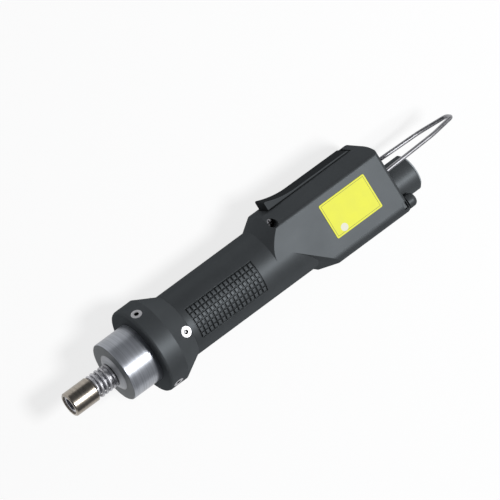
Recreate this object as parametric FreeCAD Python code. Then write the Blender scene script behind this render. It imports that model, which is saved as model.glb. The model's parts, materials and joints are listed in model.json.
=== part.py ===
import FreeCAD, Part
import math
import os

from FreeCAD import Vector

# Electric torque screwdriver, in millimetres.
# X runs back along the tool's axis from the mouth of the bit sleeve.
# Y points to the start lever, and Z to the side that carries the label.

# Fits
run_gap = 0.05
seat_gap = 0.02
free_gap = 0.3

# Handle and rear box, which the rest is fitted to
handle_radius = 18.0
wall = 2.5
box_half_width = handle_radius

# Bit holder
hex_flats = 6.35
hex_play = 0.1
hex_depth = 17.0
spindle_radius = 4.75
spindle_setback = 0.8
sleeve_radius = 6.8
sleeve_length = 15.0
sleeve_travel = 4.0
sleeve_edge = 0.6
sleeve_shoulder = 2.2
stop_ring_width = 0.9
stop_ring_height = 0.55
lock_ball_radius = 1.05
lock_ball_x = 8.0
lock_ball_lift = 0.55
lock_ball_room = 0.2
sleeve_spring_length = 11.0
sleeve_spring_wire = 0.75
sleeve_spring_radius = spindle_radius + sleeve_spring_wire + 0.5
sleeve_spring_turns = 3.5
spring_flange_radius = 6.5
spring_flange_width = 1.0

# Torque ring and clutch barrel
nose_flare_length = 1.8
nose_tip_step = 2.45
nose_flare = 3.2
ring_length = 18.1
ring_front_wall = 2.0
ring_edge = 0.5
ring_flange_width = 1.2
thread_pitch = 1.0
ring_turns = 3.0
barrel_inset = 4.2
barrel_wall = 1.4
ring_wall = 3.0
ring_flange_height = 1.4
barrel_flange_height = 3.3
nose_wall = 6.4
bush_wall = 1.1
bush_length = 5.0
nut_thickness = 3.0
nut_bore_step = 2.85
lug_width = 3.0
lug_count = 3
clip_width = 0.8
clip_height = 1.5
torque_spring_inset = 2.5
torque_spring_wire = 1.0
torque_spring_length = 14.2
torque_spring_turns = 5.0
clutch_plate_thickness = 2.0
clutch_ball_radius = 2.0
clutch_ball_count = 6
ball_pocket_depth = 0.7
clutch_ball_outset = 0.475
partition_thickness = 3.0

# Collar
band_wall = 2.8
band_length = 11.1
cone_length = 11.8
collar_edge = 1.2
collar_lip = 1.6
screw_head_radius = 3.0
screw_head_height = 2.0
screw_shank_radius = 1.45
screw_hex_flats = 2.5
screw_hex_depth = 1.2
band_screw_x = 4.7
band_screw_length = 5.5
band_screw_angles = (60.0, 180.0, 300.0)
collar_seam_turn = 15.0
cone_screw_from_end = 3.3
cone_screw_angles = (0.0, 120.0, 240.0)
screw_proud = -0.15
screw_sink = 9.0

# Gears
sun_teeth = 12
planet_teeth = 15
ring_teeth = sun_teeth + 2 * planet_teeth
addendum = 0.9
dedendum = 1.25
pressure_angle = 20.0
tooth_thinning = 0.05
planet_count = 3
planet_width = 5.0
carrier_thickness = 2.4
carrier_pin_radius = 1.5
square_drive = 6.0
ring_gear_web = 2.0
gear_case_wall = 0.85
gear_case_room = 0.1
ring_gear_rim = 1.15
carrier_gap = 0.56
carrier_boss_gap = 0.6
gear_case_flange = 2.0
gear_case_end = 1.8

# Motor
motor_room = 1.6
magnet_front = 4.5
motor_wall = 1.0
motor_end_room = 1.0
cap_thickness = 2.5
motor_shaft_radius = 1.5
magnet_thickness = 2.2
magnet_span = 130.0
magnet_length = 28.0
air_gap = 0.5
magnet_overlap = 2.0
rotor_poles = 5
winding_overhang = 3.5
commutator_radius = 3.6
commutator_length = 5.5
commutator_gap = 1.0
brush_width = 3.0
brush_gap = 0.15
brush_room = 2.2
holder_wall = 0.8
holder_gap = 1.2
motor_screw_radius = 1.2
motor_screw_inset = 5.9

# Housing
spigot_step = 1.0
spigot_length = 9.2
box_start = 120.0
box_end = 204.5
box_top = handle_radius + 3.8
box_bottom = -handle_radius - 2.5
top_inset = 10.0
bevel_height = 5.8
belly_corner = 5.5
bevel_fillet = 2.5
rear_top_corner = 5.5
rear_low_corner = 2.5
rear_side_corner = 1.8
upper_slope = 0.64
upper_slope_x = 128.3
lower_slope = 0.7
lower_slope_x = 149.1
flat_start = 137.5
flat_slope = 0.9
flat_draft = 20.0
rib_width = 2.0
motor_rib_inset = 6.0
boss_radius = 3.6
housing_screw_radius = 1.2
housing_screw_head = 2.2
housing_screw_sink = 9.0
housing_screw_length = 16.0
housing_screw_head_height = 2.0
cross_length = 3.0
cross_width = 0.6

# Grip panel
grip_start = 74.0
grip_end = 116.6
grip_rows = 6
grip_columns = 16
grip_half_angle = 29.0
grip_groove = 0.7
grip_depth = 0.5

# Label plate
label_start = 162.2
label_length = 29.6
label_low = -8.65
label_height = 19.95
label_thickness = 0.25

# Start lever
lever_nose_x = 142.5
lever_nose_y = box_top + 4.8
lever_nose_round = 0.8
lever_crest_x = 161.0
lever_top = box_top + 1.2
lever_rear_x = 196.5
lever_half_width = 6.0
lever_skirt_y = box_top - 3.2
lever_pivot_x = 192.8
lever_pivot_y = box_top - 2.4
lever_pin_radius = 1.25
lever_side_gap = 0.3
lever_end_gap = 0.6
lever_spring_x = 156.0
lever_spring_radius = 2.4
lever_spring_wire = 0.35
lever_spring_turns = 5.0
lever_spring_length = 8.6
spring_seat_depth = 0.5
pivot_block_thickness = 2.0
switch_length = 19.8
switch_height = 8.0
switch_width = 6.4
switch_front = 160.0
switch_tag_inset = 2.0
switch_tag_width = 2.0
switch_tag_length = 3.5
plunger_x = 166.0
plunger_radius = 1.4
plunger_height = 3.4
plunger_gap = 0.2
plunger_depth = 5.0
ledge_thickness = 1.5
ledge_gap = 4.0

# Electrics
board_start = 151.0
board_length = 28.5
board_low = -12.5
board_height = 15.5
board_z = -9.0
board_thickness = 1.6
capacitor_radius = 4.0
capacitor_length = 12.0
board_margin = 3.0
board_post_radius = 2.2
relay_height = 6.0
terminal_length = 10.0
terminal_height = 7.0
boss_places = ((138.0, box_top - 4.2), (board_start + board_length + boss_radius + 0.9, -3.0))

# Reversing button
button_y = box_bottom + 4.3
button_inset = 7.0
button_radius = 2.2
button_cap_radius = 3.7
button_cap_y = box_bottom + 3.8
button_length = 6.6
button_dome = 2.4
button_travel = 1.2
button_inside = 3.8
reverse_switch_size = 6.0
reverse_switch_length = 9.0
reverse_switch_inset = 8.5
notch_length = 2.6
notch_height = 4.0

# Cable connector
connector_y = box_bottom + 13.2
connector_inset = 7.8
connector_length = 16.1
connector_neck_step = 1.3
connector_inside = 4.8
connector_wall = 1.5
connector_edge = 1.5
connector_nut_width = 2.4
socket_wall = 3.0
socket_depth = 12.0
insert_thickness = 5.0
pin_count = 5
pin_radius = 0.8
pin_length = 8.0
pin_inset = 3.3
key_length = 6.0
key_height = 1.1
key_width = 2.0
pin_tail = 3.0

# Hanging bail
bail_y = box_top - 18.1
bail_wire = 1.15
bail_pivot_inset = 3.2
bail_inset = 4.0
bail_taper = 4.4
bail_mid_x = 238.0
bail_tip_half_width = 5.2
bail_tip_x = 254.7
bail_trunnion = 3.0
bail_slot_lead = 1.0
bail_bend = 2.0
bail_side_bend = 25.0
bail_tip_bend = 3.2
bail_up = 40.0
bail_down = 20.0

# Radii and places across the axis that follow from the sizes
handle_bore = handle_radius - wall
nose_tip_radius = spindle_radius + nose_tip_step
nose_base_radius = nose_tip_radius + nose_flare
barrel_radius = handle_radius - barrel_inset
ring_radius = barrel_radius + ring_wall
ring_flange_radius = ring_radius + ring_flange_height
barrel_flange_radius = ring_flange_radius + barrel_flange_height
band_radius = barrel_flange_radius + band_wall
nut_bore_radius = spindle_radius + nut_bore_step
torque_spring_radius = barrel_radius - barrel_wall - torque_spring_inset
clutch_ball_pitch_radius = (spindle_radius + bush_wall + barrel_radius - barrel_wall) / 2 + clutch_ball_outset
ring_gear_radius = handle_bore - gear_case_room - gear_case_wall - run_gap
gear_module = (ring_gear_radius - ring_gear_rim) / (ring_teeth / 2 + dedendum)
carrier_radius = gear_module * (ring_teeth / 2 - addendum) - carrier_gap
carrier_boss_radius = clutch_ball_pitch_radius - clutch_ball_radius - carrier_boss_gap
motor_radius = handle_bore - motor_room
motor_screw_circle = motor_radius - motor_screw_inset
top_half_width = box_half_width - top_inset
bevel_y = box_top - bevel_height
button_z = box_half_width - button_inset
reverse_switch_z = box_half_width - reverse_switch_inset
connector_radius = box_half_width - connector_inset
connector_neck_radius = connector_radius - connector_neck_step
socket_radius = connector_radius - socket_wall
pin_circle = socket_radius - pin_inset
bail_half_width = box_half_width - bail_inset
bail_mid_half_width = bail_half_width - bail_taper
spigot_radius = handle_radius - spigot_step

# Places along the axis that follow from the sizes
spring_flange_x = sleeve_length + sleeve_spring_length
nose_x = spring_flange_x + spring_flange_width + free_gap
ring_x = nose_x + nose_flare_length
collar_x = ring_x + ring_length
ring_flange_x = collar_x + collar_lip + 0.1
barrel_flange_x = ring_flange_x + ring_flange_width + 0.2
cavity_x = nose_x + nose_wall
clip_x = cavity_x + 0.2
nut_x = clip_x + clip_width + 0.2
nut_travel = thread_pitch * ring_turns
torque_spring_x = nut_x + nut_thickness
clutch_plate_x = torque_spring_x + torque_spring_length
partition_x = clutch_plate_x + clutch_plate_thickness + free_gap
clutch_ball_x = clutch_plate_x + clutch_plate_thickness + clutch_ball_radius
ring_gear_2_x = partition_x + partition_thickness + 0.2
barrel_end = partition_x + partition_thickness
carrier_2_x = ring_gear_2_x + ring_gear_web + free_gap
planets_2_x = carrier_2_x + carrier_thickness + 0.2
ring_gear_2_end = planets_2_x + planet_width + 0.4
carrier_1_x = planets_2_x + planet_width + 0.8
planets_1_x = carrier_1_x + carrier_thickness + 0.2
ring_gear_1_end = planets_1_x + planet_width + 1.2
gear_case_end_x = ring_gear_1_end + seat_gap
motor_x = gear_case_end_x + gear_case_end
magnet_x = motor_x + magnet_front
rotor_x = magnet_x + magnet_overlap
rotor_length = magnet_length - 2 * magnet_overlap
commutator_x = rotor_x + rotor_length + winding_overhang + commutator_gap
cap_x = commutator_x + commutator_length + motor_end_room
motor_end = cap_x + cap_thickness
band_end = collar_x + band_length
collar_end = band_end + cone_length
spigot_x = collar_end - spigot_length
sun_pitch_radius = gear_module * sun_teeth / 2
planet_pitch_radius = gear_module * planet_teeth / 2
planet_circle = sun_pitch_radius + planet_pitch_radius
gear_case_radius = ring_gear_radius + run_gap


# Basic solids

def place(x, radius, angle):
    turn = math.radians(angle)
    return Vector(x, radius * math.sin(turn), radius * math.cos(turn))


def rod(radius, start, end, y=0.0, z=0.0):
    return Part.makeCylinder(radius, end - start, Vector(start, y, z), Vector(1, 0, 0))


def tube(outer, inner, start, end):
    return rod(outer, start, end).cut(rod(inner, start - 1, end + 1))


def sector(radius, start, length, span):
    wedge = Part.makeCylinder(radius, length, Vector(start, 0, 0), Vector(1, 0, 0), span)
    wedge.rotate(Vector(0, 0, 0), Vector(1, 0, 0), -span / 2)
    return wedge


def block(x0, x1, y0, y1, z0, z1):
    return Part.makeBox(x1 - x0, y1 - y0, z1 - z0, Vector(x0, y0, z0))


def lathe(points):
    corners = [Vector(x, radius, 0) for x, radius in points]
    face = Part.Face(Part.makePolygon(corners + corners[:1]))
    return face.revolve(Vector(0, 0, 0), Vector(1, 0, 0), 360)


def plate_across(points, start, end):
    corners = [Vector(start, y, z) for y, z in points]
    face = Part.Face(Part.makePolygon(corners + corners[:1]))
    return face.extrude(Vector(end - start, 0, 0))


def turned(shape, angle):
    copy = shape.copy()
    copy.rotate(Vector(0, 0, 0), Vector(1, 0, 0), -angle)
    return copy


def moved(shape, x=0.0, y=0.0, z=0.0):
    copy = shape.copy()
    copy.translate(Vector(x, y, z))
    return copy


def joined(shapes):
    return shapes[0].multiFuse(shapes[1:]).removeSplitter()


def hexagon(flats):
    corner = flats / math.sqrt(3)
    turns = [math.radians(60 * i + 30) for i in range(6)]
    return [(corner * math.cos(turn), corner * math.sin(turn)) for turn in turns]


def skin(rings):
    faces = [Part.Face(Part.makePolygon(ring + ring[:1])) for ring in (rings[0], rings[-1])]
    sides = len(rings[0])
    for near, far in zip(rings, rings[1:]):
        for k in range(sides):
            after = (k + 1) % sides
            for corners in ((near[k], near[after], far[after]), (near[k], far[after], far[k])):
                faces.append(Part.Face(Part.makePolygon(list(corners) + [corners[0]])))
    solid = Part.makeSolid(Part.makeShell(faces))
    if solid.Volume < 0:
        solid.reverse()
    return solid


def coil(radius, wire, start, end, turns, sides=6, steps=12):
    count = int(round(turns * steps))
    rings = []
    for i in range(count + 1):
        along = start + wire + (end - start - 2 * wire) * i / count
        angle = 360.0 * i / steps
        ring = []
        for k in range(sides):
            lean = 2 * math.pi * k / sides
            ring.append(place(along + wire * math.sin(lean), radius + wire * math.cos(lean), angle))
        rings.append(ring)
    return skin(rings)


def ball(radius, centre, sides=8):
    rings = []
    for latitude in (-60, -22, 22, 60):
        level = math.radians(latitude)
        ring = []
        for k in range(sides):
            turn = 2 * math.pi * k / sides
            across = radius * math.cos(level)
            spoke = Vector(radius * math.sin(level), across * math.cos(turn), across * math.sin(turn))
            ring.append(centre + spoke)
        rings.append(ring)
    return skin(rings)


def cap_screw(length):
    head = Part.makeCylinder(screw_head_radius, screw_head_height)
    shank = Part.makeCylinder(screw_shank_radius, length, Vector(0, 0, -length))
    corners = [Vector(a, b, screw_head_height) for a, b in hexagon(screw_hex_flats)]
    socket = Part.Face(Part.makePolygon(corners + corners[:1])).extrude(Vector(0, 0, -screw_hex_depth))
    return head.fuse(shank).cut(socket)


def radial(shape, x, radius, angle):
    copy = shape.copy()
    copy.translate(Vector(x, 0, radius))
    return turned(copy, angle)


# Bit holder

def relief_radius():
    return spindle_radius + run_gap + lock_ball_lift + lock_ball_room


def bit_sleeve():
    bore = spindle_radius + run_gap
    relief_start = lock_ball_x - lock_ball_radius + run_gap - sleeve_travel
    ring_room = stop_ring_radius() + run_gap
    return lathe([
        (0, ring_room),
        (0, sleeve_radius - sleeve_edge),
        (sleeve_edge, sleeve_radius),
        (sleeve_length - sleeve_edge, sleeve_radius),
        (sleeve_length, sleeve_radius - sleeve_edge),
        (sleeve_length, bore),
        (lock_ball_x + lock_ball_radius, bore),
        (relief_start, relief_radius()),
        (relief_start, bore),
        (sleeve_shoulder, bore),
        (sleeve_shoulder, ring_room),
    ])


def stop_ring_radius():
    return spindle_radius + stop_ring_height


def sleeve_stop_ring():
    end = sleeve_shoulder - 0.1
    groove = spindle_radius - stop_ring_height
    return tube(stop_ring_radius(), groove + seat_gap, end - stop_ring_width, end)


def spindle():
    tail_start = partition_x + partition_thickness
    tail_half = square_drive / 2
    body = lathe([
        (spindle_setback, 0),
        (spindle_setback, spindle_radius - 0.3),
        (spindle_setback + 0.3, spindle_radius),
        (spring_flange_x, spindle_radius),
        (spring_flange_x, spring_flange_radius),
        (spring_flange_x + spring_flange_width, spring_flange_radius),
        (spring_flange_x + spring_flange_width, spindle_radius),
        (tail_start, spindle_radius),
        (tail_start, 0),
    ])
    tail = block(tail_start, carrier_2_x + carrier_thickness, -tail_half, tail_half, -tail_half, tail_half)
    body = body.fuse(tail)
    socket = plate_across(hexagon(hex_flats + hex_play), spindle_setback, hex_depth)
    ring_end = sleeve_shoulder - 0.1
    ring_groove = tube(spindle_radius + 1, spindle_radius - stop_ring_height,
                       ring_end - stop_ring_width - seat_gap, ring_end + seat_gap)
    clip_groove = tube(spindle_radius + 1, spindle_radius - clip_height / 2,
                       clip_x - seat_gap, clip_x + clip_width + seat_gap)
    ball_hole = Part.makeCylinder(lock_ball_radius + run_gap, spindle_radius, Vector(lock_ball_x, 0, 0))
    return body.cut(socket).cut(ring_groove).cut(clip_groove).cut(ball_hole)


def lock_ball():
    height = spindle_radius + run_gap - 0.03 - lock_ball_radius
    return ball(lock_ball_radius, Vector(lock_ball_x, 0, height))


def spindle_clip():
    return tube(spindle_radius + clip_height, spindle_radius - clip_height / 2 + seat_gap,
                clip_x, clip_x + clip_width)


def sleeve_spring():
    return coil(sleeve_spring_radius, sleeve_spring_wire, sleeve_length, spring_flange_x,
                sleeve_spring_turns, steps=16)


def spindle_bushes():
    inner = spindle_radius + run_gap
    outer = inner + bush_wall
    front = tube(outer, inner, nose_x + 0.6, nose_x + 0.6 + bush_length)
    rear = tube(outer, inner, partition_x, partition_x + partition_thickness - 0.2)
    return Part.makeCompound([front, rear])


# Torque setting and clutch

def torque_ring():
    front_bore = nose_base_radius + run_gap
    barrel_bore = barrel_radius + run_gap
    flange_end = ring_flange_x + ring_flange_width
    return lathe([
        (ring_x, front_bore),
        (ring_x, ring_radius - ring_edge),
        (ring_x + ring_edge, ring_radius),
        (ring_flange_x, ring_radius),
        (ring_flange_x, ring_flange_radius),
        (flange_end, ring_flange_radius),
        (flange_end, barrel_bore),
        (ring_x + ring_front_wall, barrel_bore),
        (ring_x + ring_front_wall, front_bore),
    ])


def clutch_barrel():
    bush_seat = spindle_radius + run_gap + bush_wall + seat_gap
    shoulder = ring_x + ring_front_wall + run_gap
    cavity = barrel_radius - barrel_wall
    body = lathe([
        (nose_x, bush_seat),
        (nose_x, nose_tip_radius),
        (ring_x, nose_base_radius),
        (shoulder, nose_base_radius),
        (shoulder, barrel_radius),
        (barrel_flange_x, barrel_radius),
        (barrel_flange_x, barrel_flange_radius),
        (barrel_end, barrel_flange_radius),
        (barrel_end, bush_seat),
        (partition_x, bush_seat),
        (partition_x, cavity),
        (cavity_x, cavity),
        (cavity_x, bush_seat),
    ])
    ball_hole = rod(clutch_ball_radius + run_gap, partition_x - 1, barrel_end + 1, z=clutch_ball_pitch_radius)
    slot_end = nut_x + nut_thickness + nut_travel + free_gap
    slot = block(nut_x - free_gap, slot_end, -lug_width / 2 - run_gap, lug_width / 2 + run_gap,
                 cavity - 1, barrel_radius + 1)
    tip = screw_seat_radius(band_radius) - band_screw_length - free_gap
    bottom = Vector(band_screw_place(), 0, tip)
    screw_hole = Part.makeCylinder(screw_shank_radius + run_gap, screw_sink, bottom)
    cuts = [turned(ball_hole, 360 * i / clutch_ball_count) for i in range(clutch_ball_count)]
    cuts += [turned(slot, 360 * i / lug_count) for i in range(lug_count)]
    cuts += [turned(screw_hole, angle) for angle in band_screw_angles]
    return body.cut(cuts)


def thrust_nut():
    body = tube(barrel_radius - barrel_wall - run_gap, nut_bore_radius, nut_x, nut_x + nut_thickness)
    lug = block(nut_x, nut_x + nut_thickness, -lug_width / 2, lug_width / 2,
                nut_bore_radius + 2, barrel_radius - run_gap)
    return joined([body] + [turned(lug, 360 * i / lug_count) for i in range(lug_count)])


def torque_spring():
    return coil(torque_spring_radius, torque_spring_wire, torque_spring_x, clutch_plate_x,
                torque_spring_turns)


def clutch_plate():
    outer = barrel_radius - barrel_wall - run_gap
    return tube(outer, spindle_radius + free_gap, clutch_plate_x, clutch_plate_x + clutch_plate_thickness)


def clutch_balls():
    first = ball(clutch_ball_radius, Vector(clutch_ball_x, 0, clutch_ball_pitch_radius))
    return Part.makeCompound([turned(first, 360 * i / clutch_ball_count) for i in range(clutch_ball_count)])


# Planetary gears

def involute(angle):
    return math.tan(angle) - angle


def flank_angle(teeth, radius, change):
    pitch = gear_module * teeth / 2
    base = pitch * math.cos(math.radians(pressure_angle))
    here = math.acos(min(1.0, base / max(radius, base)))
    return math.pi / (2 * teeth) + change / pitch + involute(math.radians(pressure_angle)) - involute(here)


def tooth_outline(teeth, radii, change):
    points = []
    for tooth in range(teeth):
        middle = 2 * math.pi * tooth / teeth
        halves = [(radius, flank_angle(teeth, radius, change)) for radius in radii]
        for radius, half in halves:
            points.append((radius * math.sin(middle - half), radius * math.cos(middle - half)))
        for radius, half in reversed(halves):
            points.append((radius * math.sin(middle + half), radius * math.cos(middle + half)))
    return points


def spur_gear(teeth, start, end):
    pitch = gear_module * teeth / 2
    radii = [pitch - dedendum * gear_module, pitch, pitch + addendum * gear_module]
    return plate_across(tooth_outline(teeth, radii, -tooth_thinning), start, end)


def ring_gear(start, end):
    pitch = gear_module * ring_teeth / 2
    radii = [pitch - addendum * gear_module, pitch + dedendum * gear_module]
    space = plate_across(tooth_outline(ring_teeth, radii, 2 * tooth_thinning), start - 1, end + 1)
    return rod(ring_gear_radius, start, end).cut(space)


def clutch_ring_gear():
    web_end = ring_gear_2_x + ring_gear_web
    web = tube(ring_gear_radius, carrier_boss_radius + free_gap, ring_gear_2_x, web_end)
    pocket_end = ring_gear_2_x + ball_pocket_depth
    pocket = rod(clutch_ball_radius + run_gap, ring_gear_2_x - 1, pocket_end, z=clutch_ball_pitch_radius)
    pockets = [turned(pocket, 360 * i / clutch_ball_count) for i in range(clutch_ball_count)]
    return web.cut(pockets).fuse(ring_gear(web_end, ring_gear_2_end)).removeSplitter()


def fixed_ring_gear():
    return ring_gear(ring_gear_2_end + 0.2, ring_gear_1_end)


def carrier(start, planet_start):
    plate = rod(carrier_radius, start, start + carrier_thickness)
    pin = rod(carrier_pin_radius, start + carrier_thickness, planet_start + planet_width, z=planet_circle)
    return joined([plate] + [turned(pin, 360 * i / planet_count) for i in range(planet_count)])


def output_carrier():
    boss = rod(carrier_boss_radius, ring_gear_2_x + free_gap, carrier_2_x)
    half = square_drive / 2 + seat_gap
    drive = block(ring_gear_2_x, carrier_2_x + carrier_thickness + 1, -half, half, -half, half)
    return carrier(carrier_2_x, planets_2_x).fuse(boss).removeSplitter().cut(drive)


def first_carrier():
    sun = spur_gear(sun_teeth, planets_2_x + 0.1, carrier_1_x)
    return carrier(carrier_1_x, planets_1_x).fuse(sun).removeSplitter()


def planet(start, number):
    gear = spur_gear(planet_teeth, start, start + planet_width)
    gear = gear.cut(rod(carrier_pin_radius + run_gap, start - 1, start + planet_width + 1))
    return turned(moved(gear, z=planet_circle), 360 * number / planet_count)


def motor_pinion():
    gear = spur_gear(sun_teeth, planets_1_x + 0.1, planets_1_x + planet_width + 1.0)
    return gear.cut(rod(motor_shaft_radius + seat_gap, planets_1_x, planets_1_x + planet_width + 2))


def gear_case():
    outer = gear_case_radius + gear_case_wall
    body = lathe([
        (barrel_end, gear_case_radius),
        (barrel_end, barrel_flange_radius - 0.5),
        (barrel_end + gear_case_flange, barrel_flange_radius - 0.5),
        (barrel_end + gear_case_flange, outer),
        (motor_x, outer),
        (motor_x, motor_shaft_radius + 1.5),
        (gear_case_end_x, motor_shaft_radius + 1.5),
        (gear_case_end_x, gear_case_radius),
    ])
    return body.cut(motor_screw_holes())


def motor_screw_holes():
    end = motor_x + motor_wall + 1
    hole = rod(motor_screw_radius + run_gap, gear_case_end_x - 1, end, z=motor_screw_circle)
    return [turned(hole, angle) for angle in (90, 270)]


# Motor

def motor_can():
    outer = rod(motor_radius, motor_x, motor_end)
    inner = rod(motor_radius - motor_wall, motor_x + motor_wall, motor_end + 1)
    bush_hole = rod(motor_shaft_radius + bush_wall + run_gap + seat_gap, motor_x - 1, motor_x + 3)
    return outer.cut(inner).cut([bush_hole] + motor_screw_holes())


def motor_magnets():
    outer = motor_radius - motor_wall - seat_gap
    shell = tube(outer, outer - magnet_thickness, magnet_x, magnet_x + magnet_length)
    wedge = sector(motor_radius + 1, magnet_x, magnet_length, magnet_span)
    arcs = []
    for angle in (0, 180):
        arcs.append(shell.common(turned(wedge, angle)))
    return Part.makeCompound(arcs)


def rotor_radius():
    return motor_radius - motor_wall - magnet_thickness - air_gap


def rotor_core():
    radius = rotor_radius()
    body = tube(radius, motor_shaft_radius + seat_gap, rotor_x, rotor_x + rotor_length)
    slot = block(rotor_x - 1, rotor_x + rotor_length + 1, -0.8, 0.8, radius / 2, radius + 1)
    return body.cut([turned(slot, 360 * i / rotor_poles) for i in range(rotor_poles)])


def rotor_windings():
    outer = rotor_radius() - 1.5
    inner = motor_shaft_radius + 1.0
    starts = (rotor_x - winding_overhang, rotor_x + rotor_length)
    return Part.makeCompound([tube(outer, inner, start, start + winding_overhang) for start in starts])


def motor_shaft():
    return rod(motor_shaft_radius, planets_1_x + 0.1, motor_end + 1.5)


def commutator():
    end = commutator_x + commutator_length
    return tube(commutator_radius, motor_shaft_radius + seat_gap, commutator_x, end)


def motor_brushes():
    start = brush_start()
    half = brush_width / 2
    brush = block(start, start + brush_width, -half, half, commutator_radius + brush_gap, brush_end())
    return Part.makeCompound([turned(brush, 90), turned(brush, 270)])


def brush_start():
    return commutator_x + (commutator_length - brush_width) / 2


def brush_end():
    return motor_radius - motor_wall - brush_room


def motor_end_cap():
    outer = motor_radius - motor_wall - seat_gap
    disc = tube(outer, motor_shaft_radius + bush_wall + run_gap + seat_gap, cap_x, motor_end)
    start = brush_start()
    half = brush_width / 2
    holder = block(start - holder_wall, cap_x, -half - holder_wall, half + holder_wall,
                   commutator_radius + holder_gap, outer - holder_wall)
    room = block(start - seat_gap, start + brush_width + seat_gap, -half - seat_gap, half + seat_gap,
                 0, brush_end() + seat_gap)
    pockets = [turned(holder.cut(room), angle) for angle in (90, 270)]
    return joined([disc] + pockets)


def motor_bushes():
    inner = motor_shaft_radius + run_gap
    outer = inner + bush_wall
    return Part.makeCompound([
        tube(outer, inner, motor_x, motor_x + 2.5),
        tube(outer, inner, cap_x, motor_end),
    ])


def motor_screws():
    screw = lathe([
        (gear_case_end_x + 0.05, 0),
        (gear_case_end_x + 0.05, motor_screw_radius),
        (motor_x + motor_wall + 0.8, motor_screw_radius),
        (motor_x + motor_wall + 0.8, 0),
    ])
    return Part.makeCompound([turned(moved(screw, z=motor_screw_circle), angle) for angle in (90, 270)])


# Collar

def band_screw_place():
    return collar_x + band_screw_x


def cone_screw_place():
    return collar_end - cone_screw_from_end


def cone_radius(x):
    share = (x - band_end) / cone_length
    return band_radius + (handle_radius - band_radius) * share


def screw_seat_radius(top_radius):
    return top_radius + screw_proud - screw_head_height


def collar():
    lip_bore = ring_radius + run_gap
    recess = ring_flange_radius + run_gap
    cavity = barrel_flange_radius + run_gap
    cavity_end = barrel_end + gear_case_flange + run_gap
    rear_bore = spigot_radius + run_gap
    body = lathe([
        (collar_x, lip_bore),
        (collar_x, band_radius - collar_edge),
        (collar_x + 0.3 * collar_edge, band_radius - 0.3 * collar_edge),
        (collar_x + collar_edge, band_radius),
        (band_end, band_radius),
        (collar_end, handle_radius),
        (collar_end, rear_bore),
        (cavity_end + 1.5, rear_bore),
        (cavity_end, cavity),
        (barrel_flange_x - 0.1, cavity),
        (barrel_flange_x - 0.1, recess),
        (collar_x + collar_lip, recess),
        (collar_x + collar_lip, lip_bore),
    ])
    body = turned(body, collar_seam_turn)
    cuts = []
    for angle in band_screw_angles:
        seat = screw_seat_radius(band_radius)
        cuts.append(radial(screw_room(), band_screw_place(), seat, angle))
    for angle in cone_screw_angles:
        seat = screw_seat_radius(cone_radius(cone_screw_place()))
        cuts.append(radial(screw_room(), cone_screw_place(), seat, angle))
    return body.cut(cuts)


def screw_room():
    head = Part.makeCylinder(screw_head_radius + run_gap, 2 * screw_head_height)
    shank = Part.makeCylinder(screw_shank_radius + run_gap, screw_sink, Vector(0, 0, -screw_sink))
    return head.fuse(shank)


def band_screws():
    screw = cap_screw(band_screw_length)
    seat = screw_seat_radius(band_radius)
    return Part.makeCompound([radial(screw, band_screw_place(), seat, angle) for angle in band_screw_angles])


def cone_screws():
    seat = screw_seat_radius(cone_radius(cone_screw_place()))
    screw = cap_screw(seat - handle_bore - 0.1)
    return Part.makeCompound([radial(screw, cone_screw_place(), seat, angle) for angle in cone_screw_angles])


# Housing

def along_x(edge):
    return edge.BoundBox.YLength < 0.01 and edge.BoundBox.ZLength < 0.01


def box_prism(inset):
    outline = [
        (box_top, top_half_width), (bevel_y, box_half_width), (box_bottom, box_half_width),
        (box_bottom, -box_half_width), (bevel_y, -box_half_width), (box_top, -top_half_width),
    ]
    corners = [Vector(box_start, y, z) for y, z in outline]
    wire = Part.makePolygon(corners + corners[:1])
    if inset:
        wire = wire.makeOffset2D(-inset, 2)
    prism = Part.Face(wire).extrude(Vector(box_end - inset - box_start, 0, 0))
    belly = [edge for edge in prism.Edges if along_x(edge) and edge.BoundBox.YMax < 0]
    bevels = [edge for edge in prism.Edges if along_x(edge) and edge.BoundBox.YMax > 0]
    return prism.makeFillet(belly_corner - inset, belly).makeFillet(max(bevel_fillet - inset, 0.3), bevels)


def side_form(inset):
    body = block(box_start, box_end - inset, box_bottom + inset, box_top - inset, -30, 30)
    rear = [edge for edge in body.Edges
            if edge.BoundBox.ZLength > 50 and edge.BoundBox.XMin > box_end - inset - 0.01]
    high = [edge for edge in rear if edge.BoundBox.YMin > 0]
    low = [edge for edge in rear if edge.BoundBox.YMin < 0]
    return body.makeFillet(rear_top_corner - inset, high).makeFillet(max(rear_low_corner - inset, 0.3), low)


def slope_form(start, slope, inset):
    tip = start - (handle_radius - inset * math.hypot(1, slope)) / slope
    end = box_end + 1
    return lathe([(tip, 0), (end, (end - tip) * slope), (end, 0)])


def flat_form():
    """Keeps the flat sides whole down to a slanting edge that runs back from the handle."""
    rings = []
    middle = box_half_width * math.tan(math.radians(flat_draft))
    for z, spread in ((-box_half_width, 0), (0, middle), (box_half_width, 0)):
        start = flat_start - spread * math.hypot(1, flat_slope) / flat_slope
        low = -flat_slope * (box_end - start)
        rings.append([Vector(start, 0, z), Vector(box_end, low, z), Vector(box_end, 0, z)])
    return skin(rings)


def rear_form(inset):
    half = box_half_width - inset
    body = block(box_start, box_end - inset, -2 * handle_radius, 2 * handle_radius, -half, half)
    rear = [edge for edge in body.Edges
            if edge.BoundBox.YLength > handle_radius and edge.BoundBox.XMin > box_end - inset - 0.01]
    return body.makeFillet(max(rear_side_corner - inset, 0.3), rear)


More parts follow.
